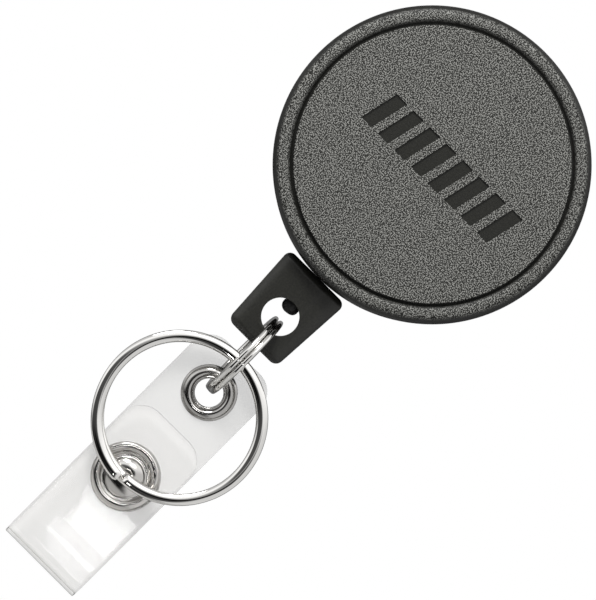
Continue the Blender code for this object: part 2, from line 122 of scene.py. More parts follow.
# Cord: its lower end and the knot's middle are heights above the CAD knot's lowest point
CORD_RADIUS = 0.5
CORD_END = 2.2
KNOT_RADIUS = 1.5
KNOT_HALF_HEIGHT = 1.4
KNOT_MIDDLE = 1.75

# Split rings: a wire is half the width and half the height of one of the two turns. The loose end of the
# key ring's first turn stands out by KEY_SPREAD, and closes in over LOOSE_END degrees
LINK_WIRE = (0.85, 0.5)
LINK_YAW = 3.0
KEY_WIRE = (0.95, 0.52)
KEY_LEAN = 7.2
KEY_STEP = (1.5, 2.5)
KEY_SPREAD = 0.55
TURN_GAP = 0.03
LOOSE_END = 80.0
WIRE_SQUARE = (0.95, 0.75)  # the wire's outline, across and along: 1 is round, less is squarer

# Strap: the flap bulges forward over the first part of its climb
VINYL_THICK = 0.55
STRAP_CORNER = 4.0
FOLD_DROP = 0.1  # the bend starts this far below the back layer's CAD box
BULGE = 0.12
BULGE_LENGTH = 7.0
VINYL_EDGE_ROUND = 0.2
GROMMET_HOLE_RADIUS = 3.0
GROMMET_CUT_LENGTH = 1.6
EDGE_FACING = 0.3  # a face that turns this much to the side or the end is painted dark grey, as shade on a cut edge
UNCUT_HEIGHT = 3.0  # up to this height above the fold, a face that turns down is part of the bend

# Grommet and snap: sections of (distance out from the bore or the axis, height over the vinyl) points
METAL_GAP = 0.02
GROMMET_BORE = 2.33
GROMMET_ROLL = [
    (0, 0.55),
    (0.05, 0.72),
    (0.2, 0.8),
    (0.38, 0.72),
    (0.5, 0.5),
    (0.62, 0.62),
    (0.85, 0.78),
    (1.1, 0.8),
    (1.4, 0.72),
    (1.75, 0.55),
    (2.05, 0.33),
]
SNAP_DOME = [
    (0, 0.86),
    (0.35, 0.88),
    (0.7, 0.98),
    (1.1, 1.0),
    (1.5, 0.95),
    (1.9, 0.86),
    (2.3, 0.73),
    (2.7, 0.56),
    (3.0, 0.38),
    (3.2, 0.22),
    (3.45, 0.12),
    (3.75, 0.12),
    (3.98, 0.25),
    (4.08, 0.45),
]
SNAP_RIM_MIDDLE = (4.75, 0.5)
SNAP_RIM_HALF = (0.66, 0.5)
SNAP_REAR = [(4.8, 0.85), (4.2, 0.8), (2.9, 0.35), (2.2, 0.3), (0, 0.3)]
SNAP_LEAN = (-0.2, 0.6)  # shift of the cap's outline along x and z for each millimetre of height
SNAP_SHIFT = (0.05, -0.3)  # of the snap's axis from the CAD cap's

# Surface patterns: reach of the case's masks, the smooth parts by radius (with painted shade in the
# front's groove), and the tones
MASK_REACH = 30.0
# The front's black band from 22.1 to 23.1 mm is the groove's smooth floor, widened and darkened as painted
# shade for the groove
FRONT_SMOOTH_AND_GROOVE_SHADE = [(22.05, 1), (22.1, 0), (22.6, 0), (22.95, 0.6), (23.1, 1), (24.3, 1), (24.8, 0)]
BACK_SMOOTH = [(24.1, 1), (24.7, 0)]
GRAIN_STOPS = [(0.43, (0.002, 0.002, 0.001)), (0.5, (0.027, 0.027, 0.024)), (0.6, (0.225, 0.225, 0.211))]
SMOOTH_STOPS = [(0.3, (0.006, 0.006, 0.005)), (0.7, (0.011, 0.011, 0.010))]
BRAID_STOPS = [(0.2, (0.03, 0.03, 0.03)), (0.8, (0.008, 0.008, 0.008))]
VINYL_TINT = (1, 0.985, 0.955)

# The studio that the metal mirrors, as brightness by direction. Stops are (share, brightness), and a share
# is how far a direction points along an axis, from -1 to 1. The sky's stops go up the picture. The shades
# darken the lower left corner, the room behind the object, and two panels that the key ring mirrors. The
# band is a narrow dark bar straight ahead of the object, and the glint a small bright light.
SKY_STOPS = [(-1, 0.8), (-0.4, 0.75), (0, 0.8), (0.3, 1.25), (0.6, 1.2), (0.8, 0.7), (1, 0.65)]
SHADES = [
    (-0.87 * PICTURE_RIGHT - 0.5 * PICTURE_UP, [(0.3, 1.0), (0.6, 0.6), (0.85, 0.25), (1.0, 0.1)]),
    (FRONT, [(-1.0, 0.2), (-0.6, 0.25), (-0.25, 0.55), (0.1, 1.0)]),
    (0.951 * FRONT - 0.309 * PICTURE_RIGHT - 0.034 * PICTURE_UP, [(0.845, 1.0), (0.9, 0.08), (1.0, 0.05)]),
    (0.545 * FRONT - 0.663 * PICTURE_RIGHT - 0.512 * PICTURE_UP, [(0.74, 1.0), (0.87, 0.1), (1.0, 0.06)]),
]
BAND_ACROSS = [(-0.12, 1.0), (-0.07, 0.05), (0.07, 0.05), (0.12, 1.0)]
BAND_AHEAD = [(0.93, 1.0), (0.96, 0.05)]
GLINT = (0.82 * FRONT + 0.35 * PICTURE_RIGHT + 0.45 * PICTURE_UP).normalized()
GLINT_STOPS = [(0.98, 0.0), (0.988, 2.2)]
DIFFUSE_TONE = 0.42  # what lights the dull surfaces, in place of the mirrored studio

# Softboxes: name, place, target, size, watts, and whether the metal mirrors them
MIDDLE = Vector((0, 0, -0.03))
OVERHEAD = MIDDLE + 0.52 * PICTURE_UP + 0.38 * FRONT
AHEAD = MIDDLE + 0.48 * FRONT + 0.62 * PICTURE_UP + 0.06 * PICTURE_RIGHT
SOFTBOXES = [
    ("overhead", OVERHEAD, MIDDLE, (0.3, 0.16), 2.2, True),
    ("ahead", AHEAD, MIDDLE, (0.22, 0.22), 5.6, False),
    ("strap_shine", (0.0054, -0.260, -0.1091), (0.0035, -0.010, -0.081), (0.017, 0.019), 0.015, True),
]

# Floor: below the strap's end with all the cord pulled out
FLOOR_RADIUS = 1200.0
FLOOR_Z = -1060.0


class Box:
    """A CAD node's box at rest, in millimetres."""

    def __init__(self, node):
        low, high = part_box(node)
        self.low = low / MM
        self.high = high / MM
        self.centre = (self.low + self.high) / 2
        self.size = self.high - self.low


# ---------------------------------------------------------------- materials


def new_material(name, colour, roughness, metallic=0.0, specular=0.5):
    """A Principled material; returns it with its node tree and shader."""
    made = bpy.data.materials.new(name)
    made.use_nodes = True
    tree = made.node_tree
    shader = tree.nodes["Principled BSDF"]
    shader.inputs["Base Color"].default_value = (*colour, 1)
    shader.inputs["Roughness"].default_value = roughness
    shader.inputs["Metallic"].default_value = metallic
    shader.inputs["Specular IOR Level"].default_value = specular
    return made, tree, shader


def noise(tree, scale, detail=3.0, roughness=0.5, stretch=(1, 1, 1)):
    """A noise pattern over the object's own coordinates, with features of 1/scale metres."""
    place = tree.nodes.new("ShaderNodeTexCoord")
    mapping = tree.nodes.new("ShaderNodeMapping")
    mapping.inputs["Scale"].default_value = stretch
    pattern = tree.nodes.new("ShaderNodeTexNoise")
    pattern.inputs["Scale"].default_value = scale
    pattern.inputs["Detail"].default_value = detail
    pattern.inputs["Roughness"].default_value = roughness
    tree.links.new(place.outputs["Object"], mapping.inputs["Vector"])
    tree.links.new(mapping.outputs["Vector"], pattern.inputs["Vector"])
    return pattern.outputs["Fac"]


def cells(tree, scale):
    """A pattern of rounded cells of about 1/scale metres."""
    place = tree.nodes.new("ShaderNodeTexCoord")
    pattern = tree.nodes.new("ShaderNodeTexVoronoi")
    pattern.feature = "SMOOTH_F1"
    pattern.inputs["Scale"].default_value = scale
    tree.links.new(place.outputs["Object"], pattern.inputs["Vector"])
    return pattern.outputs["Distance"]


def ramp(tree, source, stops):
    """Map a value through (position, tone) stops; a tone is a colour, or one number for a grey."""
    made = tree.nodes.new("ShaderNodeValToRGB")
    elements = made.color_ramp.elements
    while len(elements) < len(stops):
        elements.new(0.5)
    for element, (position, tone) in zip(elements, stops):
        colour = tone if isinstance(tone, tuple) else (tone, tone, tone)
        element.position = position
        element.color = (*colour, 1)
    tree.links.new(source, made.inputs["Fac"])
    return made.outputs["Color"]


def bump(tree, shader, source, height):
    """Raise the surface by height where the pattern is bright."""
    made = tree.nodes.new("ShaderNodeBump")
    made.inputs["Strength"].default_value = 1.0
    made.inputs["Distance"].default_value = height * MM
    tree.links.new(source, made.inputs["Height"])
    tree.links.new(made.outputs["Normal"], shader.inputs["Normal"])


def radial_mask(tree, stops):
    """A value by distance from the reel's axis, over stops of (radius, value)."""
    place = tree.nodes.new("ShaderNodeTexCoord")
    across = tree.nodes.new("ShaderNodeVectorMath")
    across.operation = "MULTIPLY"
    across.inputs[1].default_value = (1, 0, 1)
    distance = tree.nodes.new("ShaderNodeVectorMath")
    distance.operation = "LENGTH"
    scale = tree.nodes.new("ShaderNodeMath")
    scale.operation = "MULTIPLY"
    scale.inputs[1].default_value = 1 / (MASK_REACH * MM)
    tree.links.new(place.outputs["Object"], across.inputs[0])
    tree.links.new(across.outputs["Vector"], distance.inputs[0])
    tree.links.new(distance.outputs["Value"], scale.inputs[0])
    return ramp(tree, scale.outputs["Value"], [(radius / MASK_REACH, value) for radius, value in stops])


def mixed(tree, share, first, second):
    """Blend two colour outputs by a share from 0 to 1."""
    made = tree.nodes.new("ShaderNodeMix")
    made.data_type = "RGBA"
    sockets = {socket.identifier: socket for socket in made.inputs}
    tree.links.new(share, sockets["Factor_Float"])
    tree.links.new(first, sockets["A_Color"])
    tree.links.new(second, sockets["B_Color"])
    return next(socket for socket in made.outputs if socket.identifier == "Result_Color")


def combined(tree, operation, first, second):
    """One value from two by a math node's operation."""
    made = tree.nodes.new("ShaderNodeMath")
    made.operation = operation
    tree.links.new(first, made.inputs[0])
    tree.links.new(second, made.inputs[1])
    return made.outputs["Value"]


def grained_plastic(name, smooth_and_shaded_parts):
    """Black moulded plastic that looks grey where its face is grained and is black where smooth; on the
    front, the black band across the groove also stands for painted shade.
    """
    made, tree, shader = new_material(name, (0.02, 0.02, 0.019), 0.5, specular=0.35)
    grained = radial_mask(tree, smooth_and_shaded_parts)
    grain = noise(tree, scale=5300, detail=0)
    pebbles = ramp(tree, grain, GRAIN_STOPS)
    smooth = ramp(tree, noise(tree, scale=900, detail=2), SMOOTH_STOPS)
    tree.links.new(mixed(tree, grained, smooth, pebbles), shader.inputs["Base Color"])
    tree.links.new(ramp(tree, grained, [(0, 0.26), (1, 0.6)]), shader.inputs["Roughness"])
    bump(tree, shader, combined(tree, "MULTIPLY", grained, grain), height=0.08)
    return made


def smooth_plastic(name, colour, roughness):
    """Smooth moulded plastic with a faint mottle."""
    made, tree, shader = new_material(name, colour, roughness, specular=0.42)
    mottle = noise(tree, scale=3500, detail=3, roughness=0.6)
    low = tuple(0.7 * c for c in colour)
    high = tuple(1.35 * c for c in colour)
    tree.links.new(ramp(tree, mottle, [(0.35, low), (0.65, high)]), shader.inputs["Base Color"])
    bump(tree, shader, mottle, height=0.012)
    return made


def nickel(name, colour, gloss):
    """Nickel plate, its roughness a little uneven between two values."""
    low, high = gloss
    made, tree, shader = new_material(name, colour, low, metallic=1.0)
    haze = noise(tree, scale=700, detail=3)
    tree.links.new(ramp(tree, haze, [(0.3, low), (0.75, high)]), shader.inputs["Roughness"])
    return made


def brushed_steel():
    """Spring steel, brushed up and down."""
    made, tree, shader = new_material("spring_steel", (0.56, 0.56, 0.56), 0.28, metallic=1.0)
    lines = noise(tree, scale=2500, detail=4, roughness=0.6, stretch=(1, 1, 0.03))
    tree.links.new(ramp(tree, lines, [(0.3, 0.2), (0.7, 0.42)]), shader.inputs["Roughness"])
    bump(tree, shader, lines, height=0.01)
    return made


def braided_nylon():
    """Black braided cord."""
    made, tree, shader = new_material("cord_nylon", (0.015, 0.015, 0.015), 0.6)
    strands = cells(tree, scale=3200)
    tree.links.new(ramp(tree, strands, BRAID_STOPS), shader.inputs["Base Color"])
    bump(tree, shader, strands, height=0.1)
    return made


def clear_vinyl(name, tone, body):
    """Clear soft vinyl of some tone and body, more solid where it is seen edge on, with a glossy skin."""
    made, tree, shader = new_material(name, tuple(tone * tint for tint in VINYL_TINT), 0.04)
    facing = tree.nodes.new("ShaderNodeLayerWeight")
    facing.inputs["Blend"].default_value = 0.5
    solid = ramp(tree, facing.outputs["Facing"], [(0.1, body), (0.8, 0.5), (0.95, 0.7)])
    tree.links.new(solid, shader.inputs["Alpha"])
    bump(tree, shader, noise(tree, scale=130, detail=1), height=0.05)
    return made


def make_materials():
    """The record's material slots, then the finishes that only some pieces have."""
    return {
        "case_plastic": grained_plastic("back_grain", BACK_SMOOTH),
        "fitting_plastic": smooth_plastic("fitting_black", (0.011, 0.011, 0.009), 0.38),
        "spool_plastic": smooth_plastic("spool_white", (0.75, 0.75, 0.73), 0.45),
        "cord_nylon": braided_nylon(),
        "clip_steel": brushed_steel(),
        "nickel_plate": nickel("bright_nickel", (0.78, 0.77, 0.75), (0.03, 0.07)),
        "clear_vinyl": clear_vinyl("clear_vinyl", tone=0.5, body=0.27),
        # The front's grain, with painted shade in the groove
        "front_grain_and_groove_shade": grained_plastic("front_grain_and_groove_shade", FRONT_SMOOTH_AND_GROOVE_SHADE),
        # A lighter, clearer copy of the strap's vinyl for the flap: partly painted light, offsetting the
        # shade it casts on the back layer and the darker look of two layers
        "flap_vinyl_lightened": clear_vinyl("flap_vinyl_lightened", tone=0.85, body=0.12),
        # Dark grey painted on the strap's cut edges as shade
        "vinyl_edge_shade": new_material("vinyl_edge_shade", (0.06, 0.06, 0.055), 0.5)[0],
        "satin_nickel": nickel("satin_nickel", (0.46, 0.45, 0.435), (0.1, 0.15)),
        "cap_nickel": nickel("cap_nickel", (0.62, 0.605, 0.585), (0.12, 0.17)),
    }


# ---------------------------------------------------------------- shapes


def add_mesh(name, shape, material):
    """Turn a bmesh in millimetres into a smooth-shaded piece."""
    bmesh.ops.scale(shape, vec=(MM, MM, MM), verts=shape.verts)
    bmesh.ops.recalc_face_normals(shape, faces=shape.faces)
    mesh = bpy.data.meshes.new(name)
    shape.to_mesh(mesh)
    shape.free()
    obj = bpy.data.objects.new(name, mesh)
    bpy.context.scene.collection.objects.link(obj)
    mesh.materials.append(material)
    mesh.shade_smooth()
    return obj


def smoothstep(share):
    """Ease from 0 to 1, held at both ends."""
    share = min(max(share, 0.0), 1.0)
    return share * share * (3 - 2 * share)


def crowded(share):
    """A share from 0 to 1, moved so that even steps crowd towards both ends."""
    return 0.5 - 0.5 * cos(pi * share)


def corner_inset(radius, end):
    """How far a rounded corner stands in from the side, at a distance from the end."""
    reach = max(radius - end, 0.0)
    return radius - sqrt(max(radius**2 - reach**2, 0.0))


def signed_power(value, exponent):
    """A power that keeps the value's sign, for squared-off round outlines."""
    return copysign(abs(value) ** exponent, value)


def arc(centre, radius, start, end, steps):
    """Points on an arc in the plane, angles in degrees."""
    turn = [radians(start + (end - start) * i / steps) for i in range(steps + 1)]
    return [(centre[0] + radius * cos(a), centre[1] + radius * sin(a)) for a in turn]


def skin(shape, rings):
    """Join rings of vertices into a tube with both ends closed."""
    for lower, upper in zip(rings, rings[1:]):
        for k in range(len(lower)):
            j = (k + 1) % len(lower)
            shape.faces.new((lower[k], lower[j], upper[j], upper[k]))
    shape.faces.new(rings[0])
    shape.faces.new(rings[-1])


def lathe(name, profile, centre, material, steps=96, lean=(0, 0), sharp=35):
    """Turn (radius, front) points about a Y axis through centre (x, z); front is a distance along -Y.

    A profile that starts on the axis ends on it too; any other is closed from its last point to its first.
    lean slides the piece along x and z by those shares of its height above its lowest point, and edges of
    more than sharp degrees stay sharp.
    """
    shape = bmesh.new()
    rings = []
    base = min(front for _, front in profile)
    for radius, front in profile:
        x = centre[0] + lean[0] * (front - base)
        z = centre[1] + lean[1] * (front - base)
        turns = [tau * i / steps for i in range(steps)] if radius > 0 else [0.0]
        rings.append([shape.verts.new((x + radius * cos(a), -front, z + radius * sin(a))) for a in turns])
    pairs = list(zip(rings, rings[1:]))
    if len(rings[0]) > 1:
        pairs.append((rings[-1], rings[0]))
    for a, b in pairs:
        for i in range(steps):
            j = (i + 1) % steps
            corners = dict.fromkeys((a[i % len(a)], a[j % len(a)], b[j % len(b)], b[i % len(b)]))
            if len(corners) > 2:
                shape.faces.new(list(corners))
    obj = add_mesh(name, shape, material)
    obj.data.set_sharp_from_angle(angle=radians(sharp))
    return obj


def split_ring(name, radius, wire, material, step=(0, 9), hand=1, spread=0.0):
    """Two turns of half-round wire about the local Z axis, with room for a step between the ends.

    wire is half its width and half its height, step is the middle and half the length of the step in
    degrees, hand the winding's direction, and spread how far out the loose end of the first turn stands.
    """
    steps, sides = 170, 24
    half_width, half_turn = wire
    shift = half_turn + TURN_GAP / 2
    start, clear = step
    whole = 720 - 2 * clear
    count = round(steps * whole / 360)
    shape = bmesh.new()
    rings = []
    for i in range(count + 1):
        angle = clear + whole * i / count
        share = smoothstep((angle - 360 + clear) / (2 * clear))
        height = shift * (1 - 2 * share)
        turn = radians(start + hand * angle)
        wide = radius + spread * smoothstep(1 - (angle - clear) / LOOSE_END)
        shrink = min(1.0, 0.7 + 0.3 * min(i, count - i))
        ring = []
        for k in range(sides):
            b = tau * k / sides
            across = half_width * shrink * signed_power(cos(b), WIRE_SQUARE[0])
            along_axis = half_turn * shrink * signed_power(sin(b), WIRE_SQUARE[1])
            r = wide + across
            ring.append(shape.verts.new((r * cos(turn), r * sin(turn), height + along_axis)))
        rings.append(ring)
    skin(shape, rings)
    obj = add_mesh(name, shape, material)
    obj.data.set_sharp_from_angle(angle=radians(50))
    return obj


def tube(name, points, radius, material, sides=16):
    """A round tube along points near a straight line down Z."""
    shape = bmesh.new()
    turns = [tau * k / sides for k in range(sides)]
    rings = []
    for x, y, z in points:
        rings.append([shape.verts.new((x + radius * cos(a), y + radius * sin(a), z)) for a in turns])
    skin(shape, rings)
    return add_mesh(name, shape, material)


def hidden(obj):
    """Keep a cutter out of the picture."""
    obj.hide_render = True
    obj.hide_viewport = True
    return obj


def cylinder(name, radius, length, centre, axis, material):
    """A hidden round cutter along Y or Z."""
    shape = bmesh.new()
    bmesh.ops.create_cone(shape, cap_ends=True, segments=64, radius1=radius, radius2=radius, depth=length)
    if axis == "Y":
        turn = Matrix.Rotation(pi / 2, 3, "X")
        bmesh.ops.rotate(shape, cent=(0, 0, 0), matrix=turn, verts=shape.verts)
    bmesh.ops.translate(shape, vec=centre, verts=shape.verts)
    return hidden(add_mesh(name, shape, material))


def cut(obj, cutter):
    """Cut an object with another."""
    change = obj.modifiers.new(cutter.name, "BOOLEAN")
    change.object = cutter
    change.operation = "DIFFERENCE"
    change.solver = "EXACT"


def apply_modifiers(obj):
    """Make the modifiers' result the piece's own mesh."""
    bpy.context.view_layer.update()
    graph = bpy.context.evaluated_depsgraph_get()
    mesh = bpy.data.meshes.new_from_object(obj.evaluated_get(graph))
    obj.modifiers.clear()
    obj.data = mesh


def round_edges(obj, width, segments, sharp):
    """Round every edge of more than sharp degrees."""
    change = obj.modifiers.new("rounding", "BEVEL")
    change.width = width * MM
    change.segments = segments
    change.angle_limit = radians(sharp)
    apply_modifiers(obj)


# ---------------------------------------------------------------- pieces


def bar_row(name, depth, front, grow, material):
    """The row of leaning bars, each of some depth about a plane in front, and wider and higher by grow."""
    shape = bmesh.new()
    lean = Matrix.Shear("XY", 4, (BAR_LEAN, 0))
    size = Matrix.Diagonal((BAR_SIZE[0] + grow, depth, BAR_SIZE[1] + grow, 1))
    for i in range(BAR_COUNT):
        x = BAR_CENTRE[0] + (i - (BAR_COUNT - 1) / 2) * BAR_PITCH
        place = Matrix.Translation((x, -front, BAR_CENTRE[1]))
        bmesh.ops.create_cube(shape, size=1.0, matrix=place @ lean @ size)
    return add_mesh(name, shape, material)


def front_cover_piece(grain, ink):
    """The front cover with its groove and sunk bars, and the black tiles on the bars' floors."""
    cover = Box("front_cover")
    radius = cover.size.x / 2
    front = -cover.low.y
    seam = -cover.high.y
    profile = [
        (0, front),
        *[(out, front - deep) for out, deep in GROOVE],
        *arc((radius - EDGE_ROUND, front - EDGE_ROUND), EDGE_ROUND, 90, 0, 10),
        (radius, seam + SEAM_CHAMFER),
        (radius - SEAM_CHAMFER, seam),
        (radius - CASE_WALL, seam),
        (radius - CASE_WALL, front - CASE_WALL),
        (0, front - CASE_WALL),
    ]
    made = lathe("front_cover_shell", profile, (0, 0), grain, CASE_STEPS)
    cut(made, hidden(bar_row("bar_cutter", 2 * BAR_DEPTH, front, 0, grain)))
    apply_modifiers(made)
    made.data.set_sharp_from_angle(angle=radians(35))
    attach(made, "case")
    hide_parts("front_cover")
    black = bar_row("bar_inlay", TILE_THICK, front - BAR_DEPTH, TILE_OVERLAP, ink)
    black.data.shade_flat()
    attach(black, "case")


def back_shell_piece(back_grain):
    """The back half of the case."""
    shell = Box("back_shell")
    radius = shell.size.x / 2
    back = -shell.high.y
    seam = -shell.low.y
    profile = [
        (0, back + CASE_WALL),
        (radius - CASE_WALL, back + CASE_WALL),
        (radius - CASE_WALL, seam),
        (radius - SEAM_CHAMFER, seam),
        (radius, seam - SEAM_CHAMFER),
        *arc((radius - EDGE_ROUND, back + EDGE_ROUND), EDGE_ROUND, 0, -90, 10),
        (0, back),
    ]
    made = lathe("back_shell_body", profile, (0, 0), back_grain, CASE_STEPS)
    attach(made, "case")
    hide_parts("back_shell")


def fitting_block(box, black):
    """The end fitting's solid block, before it is cut."""
    x, y = box.centre.x, box.centre.y
    top, bottom = box.high.z, box.low.z
    depth = FITTING_DEPTH / 2
    rows, sides = 60, 160
    shape = bmesh.new()
    rings = []
    for i in range(rows + 1):
        share = crowded(i / rows)
        z = bottom + (top - bottom) * share
        inset = corner_inset(FITTING_ROUND, min(z - bottom, top - z))
        half = box.size.x / 2 * (FITTING_TAPER + (1 - FITTING_TAPER) * share) - inset
        rise = smoothstep((z - FITTING_HOLE_Z) / SWELL_RISE)
        rise *= smoothstep((top - z - SWELL_MARGIN) / SWELL_FALL)
        ring = []
        for k in range(sides):
            a = tau * (k + 0.5) / sides
            px = half * signed_power(cos(a), FITTING_SQUARE)
            py = (depth - inset) * signed_power(sin(a), FITTING_SQUARE)
            swell = SWELL_HEIGHT * rise * exp(-(((px + x) / SWELL_WIDTH) ** 2))
            pillow = FITTING_PILLOW * abs(px / half) ** 3
            py += (swell - pillow) * py / depth
            ring.append(shape.verts.new((x + px, y + py, z)))
        rings.append(ring)
    skin(shape, rings)
    return add_mesh("end_fitting_body", shape, black)


def fitting_piece(black):
    """The moulded end fitting: a soft-edged tapering block with a low swelling over the cord."""
    box = Box("end_fitting")
    y = box.centre.y
    block = fitting_block(box, black)
    hole = (0, y, FITTING_HOLE_Z)
    channel = (0, y, box.high.z - CHANNEL_DROP)
    cut(block, cylinder("link_hole", FITTING_HOLE_RADIUS, FITTING_CUT_LENGTH, hole, "Y", black))
    cut(block, cylinder("cord_channel", CHANNEL_RADIUS, CHANNEL_LENGTH, channel, "Z", black))
    apply_modifiers(block)
    round_edges(block, FITTING_RIM, segments=2, sharp=60)
    block.data.shade_smooth()
    block.data.set_sharp_from_angle(angle=radians(60))
    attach(block, "fitting")
    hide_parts("end_fitting")


def cord_pieces(nylon):
    """The cord's visible lead, which lengthens as the fitting is pulled, and its knot."""
    knot = Box("cord_knot")
    lead = Box("cord_lead")
    y = knot.centre.y
    start = lead.high.z
    end = knot.low.z + CORD_END
    rows = 40
    points = [(0, y, start + (end - start) * i / rows) for i in range(rows + 1)]
    cord = tube("cord_lead_braid", points, CORD_RADIUS, nylon)
    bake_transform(cord)
    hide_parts("cord_lead")

    shape = bmesh.new()
    bmesh.ops.create_uvsphere(shape, u_segments=32, v_segments=20, radius=1.0)
    for vertex in shape.verts:
        x, depth, z = vertex.co
        # Two slow waves make the ball as uneven as a tied knot
        lump = 1 + 0.07 * sin(3.1 * x + 2 * z) + 0.05 * cos(4 * depth - 2 * x)
        height = knot.low.z + KNOT_MIDDLE + KNOT_HALF_HEIGHT * lump * z
        vertex.co = (KNOT_RADIUS * lump * x, y + KNOT_RADIUS * lump * depth, height)
    made = add_mesh("cord_knot_ball", shape, nylon)
    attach(made, "fitting")
    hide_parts("cord_knot")


def ring_pieces(nickel_plate):
    """The link ring edge on to the front, and the key ring leaning out over the snap."""
    box = Box("link_ring")
    link = split_ring("link_ring_wire", box.size.z / 2 - LINK_WIRE[0], LINK_WIRE, nickel_plate)
    link.rotation_euler = (radians(90), radians(90), radians(90 + LINK_YAW))
    link.location = box.centre * MM
    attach(link, "link")
    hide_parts("link_ring")

    box = Box("key_ring")
    radius = box.size.x / 2 - KEY_WIRE[0]
    key = split_ring("key_ring_wire", radius, KEY_WIRE, nickel_plate, KEY_STEP, -1, KEY_SPREAD)
    turn = Matrix.Rotation(radians(90 - KEY_LEAN), 4, "X") @ Matrix.Rotation(radians(-90), 4, "Z")
    key.matrix_world = Matrix.Translation(box.centre * MM) @ turn
    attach(key, "key_ring")
    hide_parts("key_ring")


class StrapCourse:
    """The strap's way down the back layer, round the fold and up the flap."""

    def __init__(self):
        self.back = Box("strap_back")
        self.flap = Box("strap_flap")
        self.y_back = self.back.centre.y
        self.y_flap = self.flap.centre.y
        self.radius = (self.y_back - self.y_flap) / 2
        self.fold_z = self.back.low.z - FOLD_DROP
        self.down = self.back.high.z - self.fold_z
        self.around = pi * self.radius
        self.total = self.down + self.around + self.flap.high.z - self.fold_z

    def at(self, length):
        """The depth, height and half width at a length from the top of the back layer."""
        if length <= self.down:
            return self.y_back, self.back.high.z - length, self.back.size.x / 2
        if length <= self.down + self.around:
            a = (length - self.down) / self.radius
            y = self.y_back - self.radius * (1 - cos(a))
            width = self.back.size.x + (self.flap.size.x - self.back.size.x) * a / pi
            return y, self.fold_z - self.radius * sin(a), width / 2
        climb = length - self.down - self.around
        bulge = BULGE * sin(pi * min(climb / BULGE_LENGTH, 1.0)) ** 2
        return self.y_flap - bulge, self.fold_z + climb, self.flap.size.x / 2


def strap_grid(course, vinyl):
    """The strap's middle surface, with round corners at both ends."""
    x = course.back.centre.x
    rows, columns = 150, 24
    shape = bmesh.new()
    grid = []
    for i in range(rows + 1):
        length = course.total * crowded(i / rows)
        y, z, half = course.at(length)
        half -= corner_inset(STRAP_CORNER, min(length, course.total - length))
        row = []
        for k in range(columns + 1):
            row.append(shape.verts.new((x + half * (-1 + 2 * k / columns), y, z)))
        grid.append(row)
    for a, b in zip(grid, grid[1:]):
        for k in range(columns):
            shape.faces.new((a[k], a[k + 1], b[k + 1], b[k]))
    return add_mesh("strap_vinyl", shape, vinyl)


def paint_strap(sheet, course, flap_vinyl, edge_shade):
    """Lighter, clearer vinyl for the flap, partly painted light that offsets the shade and darker look
    where it lies over the back layer, and dark grey painted on the cut edges as shade.
    """
    sheet.data.materials.append(flap_vinyl)
    sheet.data.materials.append(edge_shade)
    for face in sheet.data.polygons:
        if face.center.y < (course.y_back + course.y_flap) / 2 * MM:
            face.material_index = 1
        above_fold = face.center.z > (course.fold_z + UNCUT_HEIGHT) * MM
        # Cut edges get dark grey: painted shade along the strap's edges
        if abs(face.normal.x) > EDGE_FACING or (above_fold and abs(face.normal.z) > EDGE_FACING):
            face.material_index = 2


def strap_piece(vinyl, flap_vinyl, edge_shade):
    """The clear strap as one sheet: back layer down, round the fold, and the flap up in front."""
    course = StrapCourse()
    sheet = strap_grid(course, vinyl)
    solid = sheet.modifiers.new("thickness", "SOLIDIFY")
    solid.thickness = VINYL_THICK * MM
    solid.offset = 0
    grommet = Box("grommet_eyelet")
    hole = (grommet.centre.x, course.y_back, grommet.centre.z)
    cut(sheet, cylinder("grommet_cutter", GROMMET_HOLE_RADIUS, GROMMET_CUT_LENGTH, hole, "Y", vinyl))
    apply_modifiers(sheet)
    round_edges(sheet, VINYL_EDGE_ROUND, segments=3, sharp=50)
    paint_strap(sheet, course, flap_vinyl, edge_shade)
    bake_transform(sheet)
    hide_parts("strap_back", "strap_flap", "strap_fold")


def grommet_pieces(satin):
    """The grommet's rolled eyelet in front, and its washer behind."""
    eyelet = Box("grommet_eyelet")
    centre = (eyelet.centre.x, eyelet.centre.z)
    radius = eyelet.size.x / 2
    bore = GROMMET_BORE
    face = -Box("strap_back").low.y + METAL_GAP
    rear = -Box("strap_back").high.y - METAL_GAP
    profile = [
        *[(bore + out, face + height) for out, height in GROMMET_ROLL],
        (radius - 0.05, face + 0.15),
        (radius - 0.1, face),
        (bore + 0.4, face),
        (bore + 0.35, rear - 0.2),
        (bore, rear - 0.2),
    ]
    made = lathe("grommet_front", profile, centre, satin, sharp=60)
    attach(made, "strap")
    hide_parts("grommet_eyelet")
    washer = Box("grommet_washer")
    low = -washer.high.y
    profile = [
        (radius, rear),
        (radius - 0.1, rear - 0.3),
        (radius - 0.6, low + 0.15),
        *arc((bore + 0.8, low + 0.35), 0.4, -60, -180, 8),
        (bore + 0.42, rear),
    ]
    made = lathe("grommet_rear", profile, centre, satin, sharp=60)
    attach(made, "strap")
    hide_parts("grommet_washer")


